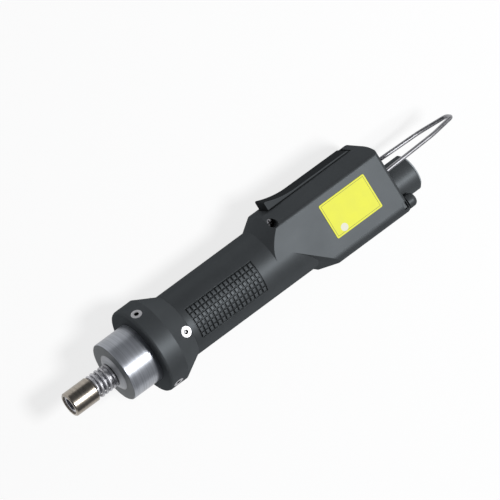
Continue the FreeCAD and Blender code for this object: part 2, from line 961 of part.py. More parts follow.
def housing_form(inset):
    reach = 2 * box_end
    upper = slope_form(upper_slope_x, upper_slope, inset).common(block(0, reach, 0, reach, -reach, reach))
    lower = slope_form(lower_slope_x, lower_slope, inset).common(block(0, reach, -reach, 0, -reach, reach))
    if not inset:
        lower = lower.fuse(flat_form())
    box = box_prism(inset).common(side_form(inset)).common(rear_form(inset)).common(upper.fuse(lower))
    handle = rod(handle_radius - inset, spigot_x - bool(inset), lower_slope_x + 5)
    return handle.fuse(box).removeSplitter()


def grip_pads():
    pitch_angle = 2 * grip_half_angle / grip_rows
    pitch_x = (grip_end - grip_start) / grip_columns
    half_width = handle_radius * math.radians(pitch_angle) / 2 - grip_groove / 2
    pads = []
    for row in range(grip_rows):
        angle = -grip_half_angle + pitch_angle * (row + 0.5)
        for column in range(grip_columns):
            start = grip_start + pitch_x * column + grip_groove / 2
            pad = block(start, start + pitch_x - grip_groove, -half_width, half_width,
                        handle_radius - grip_depth - 0.3, handle_radius)
            pads.append(turned(pad, angle))
    return pads


def grip_recess():
    start = grip_start - grip_groove / 2
    length = grip_end - grip_start + grip_groove
    margin = math.degrees(grip_groove / 2 / handle_radius)
    span = 2 * (grip_half_angle + margin)
    floor = handle_radius - grip_depth
    return sector(handle_radius + 1, start, length, span).cut(rod(floor, start - 1, start + length + 1))


def bail_slot(side):
    reach = bail_pivot_inset + 0.7
    low = bail_y - reach * math.tan(math.radians(bail_down)) - bail_wire - 0.4
    high = bail_y + reach * math.tan(math.radians(bail_up)) + bail_wire + 0.9
    inner = bail_half_width - bail_wire - free_gap - bail_slot_lead
    outer = bail_half_width + bail_wire + free_gap
    ends = sorted((side * inner, side * outer))
    return block(box_end - wall - 1, box_end + 1, low, high, ends[0], ends[1])


def housing_openings():
    step = tube(handle_radius + 5, spigot_radius, spigot_x - 1, collar_end)
    half = lever_half_width + lever_side_gap
    window = block(lever_nose_x - lever_end_gap, lever_rear_x + lever_end_gap,
                   box_top - wall - 1, 2 * box_top, -half, half)
    connector_hole = rod(connector_neck_radius + seat_gap, box_end - wall - 1, box_end + 1, y=connector_y)
    button_hole = rod(button_radius + run_gap, button_start() - button_travel - 0.2, box_end + 1,
                      y=button_y, z=button_z)
    notch = block(box_end - notch_length - 0.6, box_end - 0.6, button_y - notch_height / 2 + 0.5,
                  button_y + notch_height / 2 + 0.5, box_half_width - 2.2, box_half_width + 1)
    pin_hole = Part.makeCylinder(lever_pin_radius + seat_gap, 2 * pin_half_length(),
                                 Vector(lever_pivot_x, lever_pivot_y, -pin_half_length()))
    trunnion_hole = Part.makeCylinder(bail_wire + run_gap, 60, Vector(bail_pivot_x(), bail_y, -30))
    lug_zone = block(box_start, box_end - wall, -30, 30, -bail_half_width + 1.5, bail_half_width - 1.5)
    cuts = [step, window, connector_hole, button_hole, notch, pin_hole, trunnion_hole.common(lug_zone)]
    cuts += [bail_slot(1), bail_slot(-1)]
    for angle in cone_screw_angles:
        hole = Part.makeCylinder(screw_shank_radius + run_gap, 5, Vector(0, 0, -3))
        cuts.append(radial(hole, cone_screw_place(), spigot_radius + 1, angle))
    return cuts


def both_sides(x0, x1, y0, y1, z0, z1):
    return [block(x0, x1, y0, y1, z0, z1), block(x0, x1, y0, y1, -z1, -z0)]


def housing_inside():
    ribs = []
    for x in (motor_x + motor_rib_inset, motor_end - motor_rib_inset - rib_width - 2):
        ribs.append(tube(handle_bore + 0.3, motor_radius + seat_gap, x, x + rib_width))
    for x, y in boss_places:
        ribs.append(Part.makeCylinder(boss_radius, 60, Vector(x, y, -30)))
    shelf = spring_shelf_y()
    ribs.append(block(lever_spring_x - 3, lever_spring_x + 3, shelf - 2, shelf, -30, 30))
    ribs += both_sides(switch_front + 0.5, switch_front + switch_length - 0.5,
                       switch_y() - ledge_thickness, switch_y(), ledge_gap / 2, 30)
    ribs += both_sides(lever_pivot_x - 3, lever_pivot_x + 3, lever_pivot_y - 3, box_top,
                       lever_half_width + lever_side_gap, pin_half_length() + 1)
    ribs += both_sides(bail_pivot_x() - 2.2, box_end - 1, bail_y - 2.5, bail_y + 2.5,
                       bail_half_width - bail_wire - bail_trunnion, bail_half_width - bail_wire - 0.4)
    for x in (board_start + 4, board_start + board_length - 4):
        ribs.append(Part.makeCylinder(board_post_radius, board_z - board_thickness / 2 - seat_gap + 30,
                                      Vector(x, board_low + board_height / 2, -30)))
    return ribs


def whole_housing():
    outside = housing_form(0)
    shell = outside.cut(housing_form(wall)).cut(rod(2 * handle_radius, 0, spigot_x))
    inside = [rib.common(outside) for rib in housing_inside()]
    return joined([shell] + inside).cut(housing_openings())


def screw_cuts():
    cuts = []
    for x, y in boss_places:
        cuts.append(Part.makeCylinder(housing_screw_head + run_gap, 30, Vector(x, y, housing_screw_sink)))
        cuts.append(Part.makeCylinder(housing_screw_radius + run_gap, housing_screw_length + 0.5,
                                      Vector(x, y, housing_screw_sink - housing_screw_length - 0.5)))
    return cuts


def housing_half(side):
    reach = 2 * box_end
    half = block(0, reach, -reach, reach, 0, reach)
    recess = grip_recess()
    pads = grip_pads()
    if side < 0:
        half = block(0, reach, -reach, reach, -reach, 0)
        recess = turned(recess, 180)
        pads = [turned(pad, 180) for pad in pads]
    shell = whole_housing().common(half).cut([recess] + screw_cuts())
    return shell.multiFuse(pads).removeSplitter()


def housing_screws():
    screws = []
    for x, y in boss_places:
        seat = Vector(x, y, housing_screw_sink)
        head = Part.makeCylinder(housing_screw_head, housing_screw_head_height, seat)
        shank = Part.makeCylinder(housing_screw_radius, housing_screw_length,
                                  Vector(x, y, housing_screw_sink - housing_screw_length))
        low = housing_screw_sink + housing_screw_head_height / 2
        long = cross_length / 2
        thin = cross_width / 2
        high = low + housing_screw_head_height
        cross = block(x - long, x + long, y - thin, y + thin, low, high)
        cross = cross.fuse(block(x - thin, x + thin, y - long, y + long, low, high))
        screws.append(head.fuse(shank).cut(cross))
    return Part.makeCompound(screws)


def rating_label():
    plate = block(label_start, label_start + label_length, label_low, label_low + label_height,
                  box_half_width, box_half_width + label_thickness)
    corners = [edge for edge in plate.Edges if edge.BoundBox.ZLength > label_thickness / 2]
    return plate.makeFillet(0.8, corners)


# Start lever

def spring_shelf_y():
    return lever_skirt_y + spring_seat_depth - lever_spring_length


def switch_y():
    return lever_skirt_y - plunger_gap - plunger_height - switch_height


def pin_half_length():
    return lever_half_width + lever_side_gap + pivot_block_thickness


def start_lever():
    inset = 0.3 * lever_nose_round
    nose = Vector(lever_nose_x + lever_nose_round, lever_nose_y, 0)
    crest = Vector(lever_crest_x, lever_top, 0)
    dip = Vector((nose.x + crest.x) / 2 - 1, lever_top + 1.1, 0)
    heel = Vector(lever_rear_x - 3, lever_top - 0.2, 0)
    back_middle = Vector(lever_rear_x - 0.8, lever_top - 0.95, 0)
    back = Vector(lever_rear_x, lever_top - 3, 0)
    low_back = Vector(lever_rear_x, lever_skirt_y, 0)
    low_front = Vector(lever_nose_x, lever_skirt_y, 0)
    front = Vector(lever_nose_x, lever_nose_y - lever_nose_round, 0)
    nose_middle = Vector(lever_nose_x + inset, lever_nose_y - inset, 0)
    edges = [
        Part.Arc(nose, dip, crest).toShape(),
        Part.LineSegment(crest, heel).toShape(),
        Part.Arc(heel, back_middle, back).toShape(),
        Part.LineSegment(back, low_back).toShape(),
        Part.LineSegment(low_back, low_front).toShape(),
        Part.LineSegment(low_front, front).toShape(),
        Part.Arc(front, nose_middle, nose).toShape(),
    ]
    body = Part.Face(Part.Wire(edges)).extrude(Vector(0, 0, 2 * lever_half_width))
    body = moved(body, z=-lever_half_width)
    pin_hole = Part.makeCylinder(lever_pin_radius + run_gap, 40, Vector(lever_pivot_x, lever_pivot_y, -20))
    seat = Part.makeCylinder(lever_spring_radius + 0.5, 2 * spring_seat_depth,
                             Vector(lever_spring_x, lever_skirt_y - spring_seat_depth, 0), Vector(0, 1, 0))
    return body.cut([pin_hole, seat])


def lever_pin():
    length = pin_half_length() - 0.1
    return Part.makeCylinder(lever_pin_radius, 2 * length, Vector(lever_pivot_x, lever_pivot_y, -length))


def lever_spring():
    spring = coil(lever_spring_radius, lever_spring_wire, 0, lever_spring_length, lever_spring_turns,
                  sides=5, steps=10)
    spring.rotate(Vector(0, 0, 0), Vector(0, 0, 1), 90)
    return moved(spring, lever_spring_x, spring_shelf_y())


def plunger_hole_y():
    return switch_y() + switch_height - plunger_depth


def start_switch():
    body = block(switch_front, switch_front + switch_length, switch_y(), switch_y() + switch_height,
                 -switch_width / 2, switch_width / 2)
    bottom = Vector(plunger_x, plunger_hole_y(), 0)
    hole = Part.makeCylinder(plunger_radius + run_gap, switch_height, bottom, Vector(0, 1, 0))
    first = switch_front + switch_tag_inset
    last = switch_front + switch_length - switch_tag_inset - switch_tag_width
    bottom_y = switch_y() - switch_tag_length
    tags = [block(x, x + switch_tag_width, bottom_y, switch_y(), -0.4, 0.4)
            for x in (first, (first + last) / 2, last)]
    return joined([body.cut(hole)] + tags)


def switch_plunger():
    top = lever_skirt_y - plunger_gap
    bottom = plunger_hole_y() + plunger_depth / 2
    return Part.makeCylinder(plunger_radius, top - bottom, Vector(plunger_x, bottom, 0), Vector(0, 1, 0))


# Electrics

def circuit_board():
    return block(board_start, board_start + board_length, board_low, board_low + board_height,
                 board_z - board_thickness / 2, board_z + board_thickness / 2)


def board_parts():
    top = board_z + board_thickness / 2 + seat_gap
    start = board_start + board_margin
    y = board_low + 1 + capacitor_radius
    capacitor = rod(capacitor_radius, start, start + capacitor_length, y=y, z=top + capacitor_radius)
    relay_y = y + capacitor_radius + 0.5
    relay = block(start, start + capacitor_length, relay_y, relay_y + 5.5, top, top + relay_height)
    end = board_start + board_length - 2
    low = board_low + 2
    terminals = block(end - terminal_length, end, low, low + terminal_height, top, top + terminal_height)
    slots = []
    for share in (0.25, 0.75):
        x = end - terminal_length * share
        slots.append(Part.makeCylinder(1.2, 5, Vector(x, low + terminal_height / 2, top + 3)))
    return Part.makeCompound([capacitor, terminals.cut(slots), relay])


def button_start():
    return box_end - wall - button_inside


def reversing_button():
    start = box_end + button_travel + 0.2
    end = box_end + button_length
    stem = rod(button_radius, button_start(), end - button_dome, y=button_y, z=button_z)
    cap = rod(button_cap_radius, start, end, y=button_cap_y, z=button_z)
    rim = [edge for edge in cap.Edges if edge.BoundBox.XMin > end - 0.01]
    return stem.fuse(cap.makeFillet(button_dome, rim))


def reversing_switch():
    half = reverse_switch_size / 2
    low = box_bottom + wall + seat_gap
    end = button_start() - button_travel - 0.2
    return block(end - reverse_switch_length, end, low, low + reverse_switch_size,
                 reverse_switch_z - half, reverse_switch_z + half)


# Cable connector

def connector_shell():
    neck_start = box_end - wall - connector_inside
    neck_bore = connector_neck_radius - connector_wall
    end = box_end + connector_length
    step = end - socket_depth - insert_thickness
    body = lathe([
        (neck_start, connector_neck_radius),
        (box_end, connector_neck_radius),
        (box_end, connector_radius),
        (end - connector_edge, connector_radius),
        (end, connector_radius - connector_edge),
        (end, socket_radius),
        (step, socket_radius),
        (step, neck_bore),
        (neck_start, neck_bore),
    ])
    return moved(body, y=connector_y)


def connector_nut():
    ring = tube(connector_radius, connector_neck_radius + run_gap,
                box_end - wall - connector_nut_width, box_end - wall - seat_gap)
    return moved(ring, y=connector_y)


def pin_places():
    places = []
    for i in range(pin_count):
        angle = math.radians(60 * i - 120)
        places.append((connector_y + pin_circle * math.cos(angle), pin_circle * math.sin(angle)))
    return places


def connector_insert():
    end = box_end + connector_length - socket_depth
    disc = rod(socket_radius - seat_gap, end - insert_thickness, end, y=connector_y)
    key_top = connector_y + socket_radius - free_gap / 3
    key = block(end, end + key_length, key_top - key_height, key_top, -key_width / 2, key_width / 2)
    holes = [rod(pin_radius + seat_gap, end - 2 * insert_thickness, end + pin_length, y=y, z=z)
             for y, z in pin_places()]
    return disc.fuse(key).cut(holes)


def contact_pins():
    end = box_end + connector_length - socket_depth
    pins = []
    for y, z in pin_places():
        pin = rod(pin_radius, end - insert_thickness - pin_tail, end + pin_length, y=y, z=z)
        tip = [edge for edge in pin.Edges if edge.BoundBox.XMin > end + pin_length - 0.01]
        pins.append(pin.makeChamfer(0.3, tip))
    return Part.makeCompound(pins)


# Hanging bail

def bail_pivot_x():
    return box_end - bail_pivot_inset - 0.7


def rounded_line(points, radii, steps=4):
    line = [points[0]]
    for i, radius in enumerate(radii):
        corner = points[i + 1]
        back = (points[i] - corner).normalize()
        ahead = (points[i + 2] - corner).normalize()
        half = back.getAngle(ahead) / 2
        centre = corner + (back + ahead).normalize() * (radius / math.sin(half))
        first = corner + back * (radius / math.tan(half)) - centre
        last = corner + ahead * (radius / math.tan(half)) - centre
        swing = math.pi - 2 * half
        for k in range(steps + 1):
            share = k / steps
            spoke = first * math.sin((1 - share) * swing) + last * math.sin(share * swing)
            line.append(centre + spoke * (1 / math.sin(swing)))
    return line + [points[-1]]


def wire_along(line, radius, side, sides=10):
    rings = []
    for i, point in enumerate(line):
        ahead = (line[min(i + 1, len(line) - 1)] - line[max(i - 1, 0)]).normalize()
        across = ahead.cross(side).normalize()
        turns = [2 * math.pi * k / sides for k in range(sides)]
        rings.append([point + across * (radius * math.cos(a)) + side * (radius * math.sin(a)) for a in turns])
    return skin(rings)


def hanging_bail():
    x = bail_pivot_x()
    one_side = [
        Vector(x, bail_y, bail_half_width - bail_wire - bail_trunnion),
        Vector(x, bail_y, bail_half_width),
        Vector(bail_mid_x, bail_y, bail_mid_half_width),
        Vector(bail_tip_x - bail_wire, bail_y, bail_tip_half_width - 1.5),
    ]
    other_side = [Vector(point.x, point.y, -point.z) for point in reversed(one_side)]
    radii = [bail_bend, bail_side_bend, bail_tip_bend, bail_tip_bend, bail_side_bend, bail_bend]
    return wire_along(rounded_line(one_side + other_side, radii), bail_wire, Vector(0, 1, 0))


nodes = {
    "bit_sleeve": bit_sleeve,
    "sleeve_stop_ring": sleeve_stop_ring,
    "sleeve_spring": sleeve_spring,
    "spindle": spindle,
    "lock_ball": lock_ball,
    "spindle_clip": spindle_clip,
    "spindle_bushes": spindle_bushes,
    "torque_ring": torque_ring,
    "clutch_barrel": clutch_barrel,
    "thrust_nut": thrust_nut,
    "torque_spring": torque_spring,
    "clutch_plate": clutch_plate,
    "clutch_balls": clutch_balls,
    "clutch_ring_gear": clutch_ring_gear,
    "output_carrier": output_carrier,
    "fixed_ring_gear": fixed_ring_gear,
    "first_carrier": first_carrier,
    "motor_pinion": motor_pinion,
    "gear_case": gear_case,
    "motor_can": motor_can,
    "motor_magnets": motor_magnets,
    "rotor_core": rotor_core,
    "rotor_windings": rotor_windings,
    "motor_shaft": motor_shaft,
    "commutator": commutator,
    "motor_brushes": motor_brushes,
    "motor_end_cap": motor_end_cap,
    "motor_bushes": motor_bushes,
    "motor_screws": motor_screws,
    "collar": collar,
    "band_screws": band_screws,
    "cone_screws": cone_screws,
    "housing_screws": housing_screws,
    "rating_label": rating_label,
    "start_lever": start_lever,
    "lever_pin": lever_pin,
    "lever_spring": lever_spring,
    "start_switch": start_switch,
    "switch_plunger": switch_plunger,
    "circuit_board": circuit_board,
    "board_parts": board_parts,
    "reversing_button": reversing_button,
    "reversing_switch": reversing_switch,
    "connector_shell": connector_shell,
    "connector_nut": connector_nut,
    "connector_insert": connector_insert,
    "contact_pins": contact_pins,
    "hanging_bail": hanging_bail,
}

os.makedirs("parts", exist_ok=True)
for name, build in nodes.items():
    build().exportStep("parts/" + name + ".step")
for i, letter in enumerate("abc"):
    planet(planets_2_x, i).exportStep("parts/output_planet_" + letter + ".step")
    planet(planets_1_x, i).exportStep("parts/first_planet_" + letter + ".step")
housing_half(1).exportStep("parts/label_side_housing.step")
housing_half(-1).exportStep("parts/far_side_housing.step")
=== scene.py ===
import bpy
import bmesh
import json
import math
from mathutils import Vector, Matrix

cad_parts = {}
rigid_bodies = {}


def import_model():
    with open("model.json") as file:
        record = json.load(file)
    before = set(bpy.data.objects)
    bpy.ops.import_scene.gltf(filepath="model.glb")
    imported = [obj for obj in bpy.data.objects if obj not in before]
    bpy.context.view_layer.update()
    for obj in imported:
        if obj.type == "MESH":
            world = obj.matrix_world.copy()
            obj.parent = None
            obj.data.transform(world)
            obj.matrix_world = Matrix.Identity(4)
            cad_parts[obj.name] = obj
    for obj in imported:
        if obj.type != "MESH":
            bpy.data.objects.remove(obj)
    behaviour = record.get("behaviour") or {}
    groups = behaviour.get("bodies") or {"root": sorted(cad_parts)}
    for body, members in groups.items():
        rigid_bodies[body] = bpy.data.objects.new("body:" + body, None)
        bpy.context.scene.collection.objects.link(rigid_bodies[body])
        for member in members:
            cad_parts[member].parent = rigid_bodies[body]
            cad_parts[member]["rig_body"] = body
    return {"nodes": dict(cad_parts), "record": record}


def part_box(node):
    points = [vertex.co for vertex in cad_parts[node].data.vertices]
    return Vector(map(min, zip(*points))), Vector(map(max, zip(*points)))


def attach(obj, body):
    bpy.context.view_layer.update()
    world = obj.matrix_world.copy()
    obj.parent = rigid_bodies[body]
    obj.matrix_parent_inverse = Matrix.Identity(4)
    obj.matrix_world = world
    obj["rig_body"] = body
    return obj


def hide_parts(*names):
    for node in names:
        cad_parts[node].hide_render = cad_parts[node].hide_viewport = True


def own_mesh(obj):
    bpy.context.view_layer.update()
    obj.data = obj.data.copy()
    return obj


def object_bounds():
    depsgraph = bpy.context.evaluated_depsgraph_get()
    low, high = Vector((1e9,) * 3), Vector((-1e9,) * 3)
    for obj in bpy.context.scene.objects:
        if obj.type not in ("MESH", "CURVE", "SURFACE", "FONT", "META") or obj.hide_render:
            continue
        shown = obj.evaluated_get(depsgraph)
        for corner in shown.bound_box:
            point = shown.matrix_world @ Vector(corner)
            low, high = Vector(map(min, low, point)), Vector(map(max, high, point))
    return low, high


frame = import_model()
cad_low, cad_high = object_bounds()

# Sizes that the part's source has too

mm = 0.001
handle_radius = 18.0 * mm
grip_start = 74.0 * mm
grip_end = 116.6 * mm
grip_rows = 6
grip_columns = 16
grip_half_angle = math.radians(29.0)
clutch_ball_count = 6
clutch_ball_radius = 2.0 * mm
clutch_ball_circle = 9.6 * mm
lock_ball_radius = 1.05 * mm
bail_wire = 1.15 * mm
bail_pivot_x = 200.6 * mm
bail_y = 3.7 * mm
bail_mid_x = 238.0 * mm
bail_mid_half_width = 9.6 * mm

# Sizes of the scene alone

spring_wire = {"sleeve_spring": 0.75 * mm, "torque_spring": 1.0 * mm, "lever_spring": 0.35 * mm}
spring_turns = {"sleeve_spring": 3.9, "torque_spring": 5.5, "lever_spring": 5.5}
closed_turns = {"sleeve_spring": 0.35, "torque_spring": 0.75, "lever_spring": 0.75}
bail_pin_length = 4.15 * mm
bail_tip_half_width = 3.7 * mm
bail_bends = (1.5 * mm, 25.0 * mm, 3.2 * mm)
bail_slack = 0.04 * mm
film_border_inset = 0.9 * mm
film_border_width = 0.22 * mm
film_dot_x = 6.3 * mm
film_dot_y = 3.1 * mm
film_dot_radius = 2.1 * mm
connector_rim_width = 1.0 * mm

# Camera

image_side = 500
pixels_per_mm = 1.97
camera_distance = 6.0
looks_at = Vector((0.125, 0.0093, 0.0))
to_camera = Vector((-0.30, 0.25, 0.92)).normalized()
image_right = Vector((0.765, -0.508, 0.39))


def add_camera():
    up = to_camera.cross(image_right).normalized()
    right = up.cross(to_camera)
    lens = bpy.data.cameras.new("camera")
    lens.sensor_width = 36.0
    lens.lens = pixels_per_mm * camera_distance / mm * lens.sensor_width / image_side
    lens.clip_start = 0.1
    lens.clip_end = 60.0
    camera = bpy.data.objects.new("camera", lens)
    bpy.context.scene.collection.objects.link(camera)
    turn = Matrix((right, up, to_camera)).transposed().to_4x4()
    camera.matrix_world = Matrix.Translation(looks_at + to_camera * camera_distance) @ turn
    bpy.context.scene.camera = camera


add_camera()
bpy.context.scene.view_settings.view_transform = "Standard"


# Shader maths

class Value:
    """One socket of a finish, with arithmetic written as Python."""

    def __init__(self, finish, socket):
        self.finish = finish
        self.socket = socket

    def maths(self, operation, *others):
        return self.finish.maths(operation, self, *others)

    def __add__(self, other):
        return self.maths("ADD", other)

    def __radd__(self, other):
        return self.finish.maths("ADD", other, self)

    def __sub__(self, other):
        return self.maths("SUBTRACT", other)

    def __rsub__(self, other):
        return self.finish.maths("SUBTRACT", other, self)

    def __mul__(self, other):
        return self.maths("MULTIPLY", other)

    def __rmul__(self, other):
        return self.finish.maths("MULTIPLY", other, self)

    def __gt__(self, other):
        return self.maths("GREATER_THAN", other)

    def __lt__(self, other):
        return self.maths("LESS_THAN", other)

    def smooth(self, low, high):
        """0 at low and 1 at high, with a soft step between them."""
        settings = {"interpolation_type": "SMOOTHSTEP"}
        sockets = {"Value": self, "From Min": low, "From Max": high}
        return self.finish.node("ShaderNodeMapRange", settings, sockets)["Result"]


class Outputs:
    """The outputs of a node, by name or by number."""

    def __init__(self, finish, node):
        self.finish = finish
        self.node = node

    def __getitem__(self, key):
        return Value(self.finish, self.node.outputs[key])


# Colours have three parts, and paint() gives the four that a socket takes

white = (1.0, 1.0, 1.0)
cool = (0.92, 1.0, 1.06)


def paint(colour, share=1.0):
    return tuple(part * share for part in colour) + (1.0,)


def cool_grey(level):
    return paint(cool, level)


class Finish:
    """A material, and the few calls that its nodes are made with. Scales are per metre."""

    def __init__(self, name):
        self.material = bpy.data.materials.new(name)
        self.material.use_nodes = True
        self.tree = self.material.node_tree
        self.tree.nodes.clear()

    def node(self, kind, settings=None, sockets=None):
        made = self.tree.nodes.new(kind)
        for key, setting in (settings or {}).items():
            setattr(made, key, setting)
        for key, value in (sockets or {}).items():
            if isinstance(value, Value):
                self.tree.links.new(value.socket, made.inputs[key])
            else:
                made.inputs[key].default_value = value
        return Outputs(self, made)

    def maths(self, operation, *values):
        return self.node("ShaderNodeMath", {"operation": operation}, dict(enumerate(values)))[0]

    def place(self):
        return self.node("ShaderNodeTexCoord")["Object"]

    def split(self, vector):
        parts = self.node("ShaderNodeSeparateXYZ", {}, {"Vector": vector})
        return parts["X"], parts["Y"], parts["Z"]

    def stretched(self, vector, along, around):
        """The place with other scales along the tool and around it, for marks of the lathe."""
        settings = {"operation": "MULTIPLY"}
        scales = (along, around, around)
        return self.node("ShaderNodeVectorMath", settings, {0: vector, 1: scales})["Vector"]

    def noise(self, vector, scale=1.0, detail=2.0, roughness=0.5):
        sockets = {"Vector": vector, "Scale": scale, "Detail": detail, "Roughness": roughness}
        return self.node("ShaderNodeTexNoise", {}, sockets)[0]

    def cells(self, vector, scale):
        sockets = {"Vector": vector, "Scale": scale}
        return self.node("ShaderNodeTexVoronoi", {"feature": "F1"}, sockets)["Distance"]

    def mixed(self, factor, first, second):
        """From the first colour to the second. A Mix node has its colours at 6 and 7, and at 2."""
        settings = {"data_type": "RGBA", "clamp_factor": True}
        return self.node("ShaderNodeMix", settings, {0: factor, 6: first, 7: second})[2]

    def clouded(self, noise, colour, dark, bright=1.0, low=0.3, high=0.7):
        """A colour that a noise moves between a dark and a bright share of itself."""
        return self.mixed(noise.smooth(low, high), paint(colour, dark), paint(colour, bright))

    def rounded(self, radius):
        return self.node("ShaderNodeBevel", {"samples": 6}, {"Radius": radius})["Normal"]

    def edges(self, radius):
        """Near 1 on the sharp outer and inner edges, and 0 on flat ground."""
        plain = self.node("ShaderNodeNewGeometry")["Normal"]
        settings = {"operation": "DOT_PRODUCT"}
        sockets = {0: plain, 1: self.rounded(radius)}
        match = self.node("ShaderNodeVectorMath", settings, sockets)["Value"]
        return (1.0 - match).smooth(low=0.02, high=0.25)

    def open_sky(self, reach):
        """1 on open ground, and 0 at the bottom of a socket or a slot."""
        sky = self.node("ShaderNodeAmbientOcclusion", {"samples": 8}, {"Distance": reach})["AO"]
        return sky.smooth(low=0.55, high=0.9)

    def bump(self, height, strength, depth, normal=None):
        sockets = {"Height": height, "Strength": strength, "Distance": depth}
        if normal is not None:
            sockets["Normal"] = normal
        return self.node("ShaderNodeBump", {}, sockets)["Normal"]

    def surface(self, shader):
        self.node("ShaderNodeOutputMaterial", {}, {"Surface": shader})
        return self.material

    def done(self, **sockets):
        names = {key.replace("_", " "): value for key, value in sockets.items()}
        return self.surface(self.node("ShaderNodeBsdfPrincipled", {}, names)[0])

    def even_sheen(self, colour, roughness, normal, sheen):
        """A matt body under a sheen that is as weak at a grazing angle as from in front."""
        shared = {"Roughness": roughness, "Normal": normal}
        matt = {"Base Color": colour, "Specular IOR Level": 0.0, **shared}
        body = self.node("ShaderNodeBsdfPrincipled", {}, matt)[0]
        gloss = self.node("ShaderNodeBsdfAnisotropic", {}, {"Color": paint(cool), **shared})[0]
        return self.surface(self.node("ShaderNodeMixShader", {}, {0: sheen, 1: body, 2: gloss})[0])


def varied(middle, noise, spread):
    """A number that a noise moves up and down round its middle."""
    return middle + (noise - 0.5) * spread


# Finishes

def grip_pattern(x, y, z):
    """The pads of the grip as three masks.

    The first goes from 0 in a groove to 1 on a pad. The second is 1 in the grip, and the third
    is 1 in the grip and its border.
    """
    half_arc = grip_half_angle * handle_radius
    half_column = (grip_end - grip_start) / grip_columns / 2
    half_row = half_arc / grip_rows
    arc = y.maths("ARCTAN2", z.maths("ABSOLUTE")) * handle_radius
    along = (x - grip_start).maths("PINGPONG", half_column)
    around = (arc + half_arc).maths("PINGPONG", half_row)
    from_groove = along.maths("MINIMUM", around)
    from_middle = arc.maths("ABSOLUTE")

    def zone(margin):
        inside = (x > grip_start - margin) * (x < grip_end + margin)
        return inside * (from_middle < half_arc + margin)

    pad = from_groove.smooth(low=0.15 * mm, high=0.85 * mm)
    return pad, zone(margin=0.35 * mm), zone(margin=0.9 * mm)


def moulded_plastic(name, level, sheen, edge_lightening, bright_edge_width):
    """Dark grey plastic from a spark-eroded mould, brighter along its edges: partly worn edges,
    partly a painted highlight.

    The grip's pad tops are painted lighter, a painted light, and its grooves darker, a painted
    shade.
    """
    edge_share, polish = 0.5, 0.06
    # Shares of level for the painted shade in the grooves and the painted light on the pad tops
    groove, pad_painted_light = 0.35, 1.5
    f = Finish(name)
    place = f.place()
    sparks = f.cells(place, scale=2600.0)
    clouds = f.noise(place, scale=55.0, detail=4.0, roughness=0.6)
    edge = f.edges(bright_edge_width)
    pad, grip, grip_border = grip_pattern(*f.split(place))
    colour = f.clouded(clouds, cool, dark=level * 0.92, bright=level * 1.05)
    # Edges painted lighter: partly worn edges, partly a painted highlight
    colour = f.mixed(edge * (1 - grip_border) * edge_share, colour, cool_grey(level * edge_lightening))
    # Painted shade in the grooves and painted light on the pad tops
    grip_light_and_shade = f.mixed(pad, cool_grey(level * groove), cool_grey(level * pad_painted_light))
    colour = f.mixed(grip, colour, grip_light_and_shade)
    roughness = varied(0.48, clouds, 0.1) - edge * polish
    normal = f.bump(pad * grip, strength=0.5, depth=0.35 * mm, normal=f.rounded(0.3 * mm))
    normal = f.bump(sparks, strength=0.22, depth=0.05 * mm, normal=normal)
    return f.even_sheen(colour, roughness, normal, sheen)


def coated_metal(name, level, matt, sheen, rim=None):
    """Black coated alloy, turned before it was coated, so fine rings show through.

    With rim, the coating is painted light grey behind that place along X: partly bare metal, partly
    a painted highlight.
    """
    edge_share, edge_lightening = 0.6, 2.2
    rim_bare_and_highlight, bare_metal_and_highlight_grey = 0.8, 0.42
    f = Finish(name)
    place = f.place()
    rings = f.noise(f.stretched(place, along=9000.0, around=40.0))
    clouds = f.noise(place, scale=70.0, detail=3.0)
    colour = f.clouded(clouds, cool, dark=level * 0.92, bright=level * 1.05)
    colour = f.mixed(f.edges(0.3 * mm) * edge_share, colour, cool_grey(level * edge_lightening))
    # The light grey rim is partly bare metal and partly a painted highlight
    if rim is not None:
        behind = f.split(place)[0] > rim
        colour = f.mixed(behind * rim_bare_and_highlight, colour, cool_grey(bare_metal_and_highlight_grey))
    normal = f.bump(rings, strength=0.12, depth=0.02 * mm, normal=f.rounded(0.3 * mm))
    return f.even_sheen(colour, varied(matt, rings, 0.12), normal, sheen)


def turned_metal(name, colour, matt, ring_strength=0.25, painted_shade_face=None, metallic=1.0):
    """Bright metal turned on a lathe: fine rings round the axis, and light handling marks.

    Given the place of the front face along X, that face is painted dark grey and not metallic, as
    painted shade.
    """
    edge_share, edge_lightening = 0.5, 1.3
    painted_face_shade, dark_matt = 0.16, 0.2
    f = Finish(name)
    place = f.place()
    rings = f.noise(f.stretched(place, along=14000.0, around=60.0), detail=3.0)
    wide_rings = f.noise(f.stretched(place, along=1600.0, around=25.0))
    marks = f.noise(place, scale=130.0, detail=5.0, roughness=0.65)
    shade = f.clouded(wide_rings, colour, dark=0.8)
    shade = f.mixed(f.edges(0.25 * mm) * edge_share, shade, paint(colour, edge_lightening))
    roughness = varied(varied(matt, marks, 0.16), rings, 0.08)
    normal = f.bump(rings, ring_strength, depth=0.012 * mm, normal=f.rounded(0.2 * mm))
    # Painted shade on the front face, which the lamps do not reach
    if painted_shade_face is not None:
        x = f.split(place)[0]
        bright = x.smooth(low=painted_shade_face + 0.15 * mm, high=painted_shade_face + 0.35 * mm)
        shade = f.mixed(bright, cool_grey(painted_face_shade), shade)
        roughness = roughness + (1 - bright) * dark_matt
        metallic = bright * metallic
    return f.done(Base_Color=shade, Roughness=roughness, Metallic=metallic, Normal=normal)


def drawn_wire(name, colour, matt):
    """Drawn wire with die marks and small dull spots."""
    f = Finish(name)
    place = f.place()
    spots = f.noise(place, scale=900.0, detail=3.0)
    marks = f.noise(place, scale=200.0, detail=6.0, roughness=0.7)
    shade = f.clouded(marks, colour, dark=0.72, low=0.35, high=0.65)
    roughness = varied(matt, marks, 0.2)
    normal = f.bump(spots, strength=0.12, depth=0.01 * mm)
    return f.done(Base_Color=shade, Roughness=roughness, Metallic=1.0, Normal=normal)


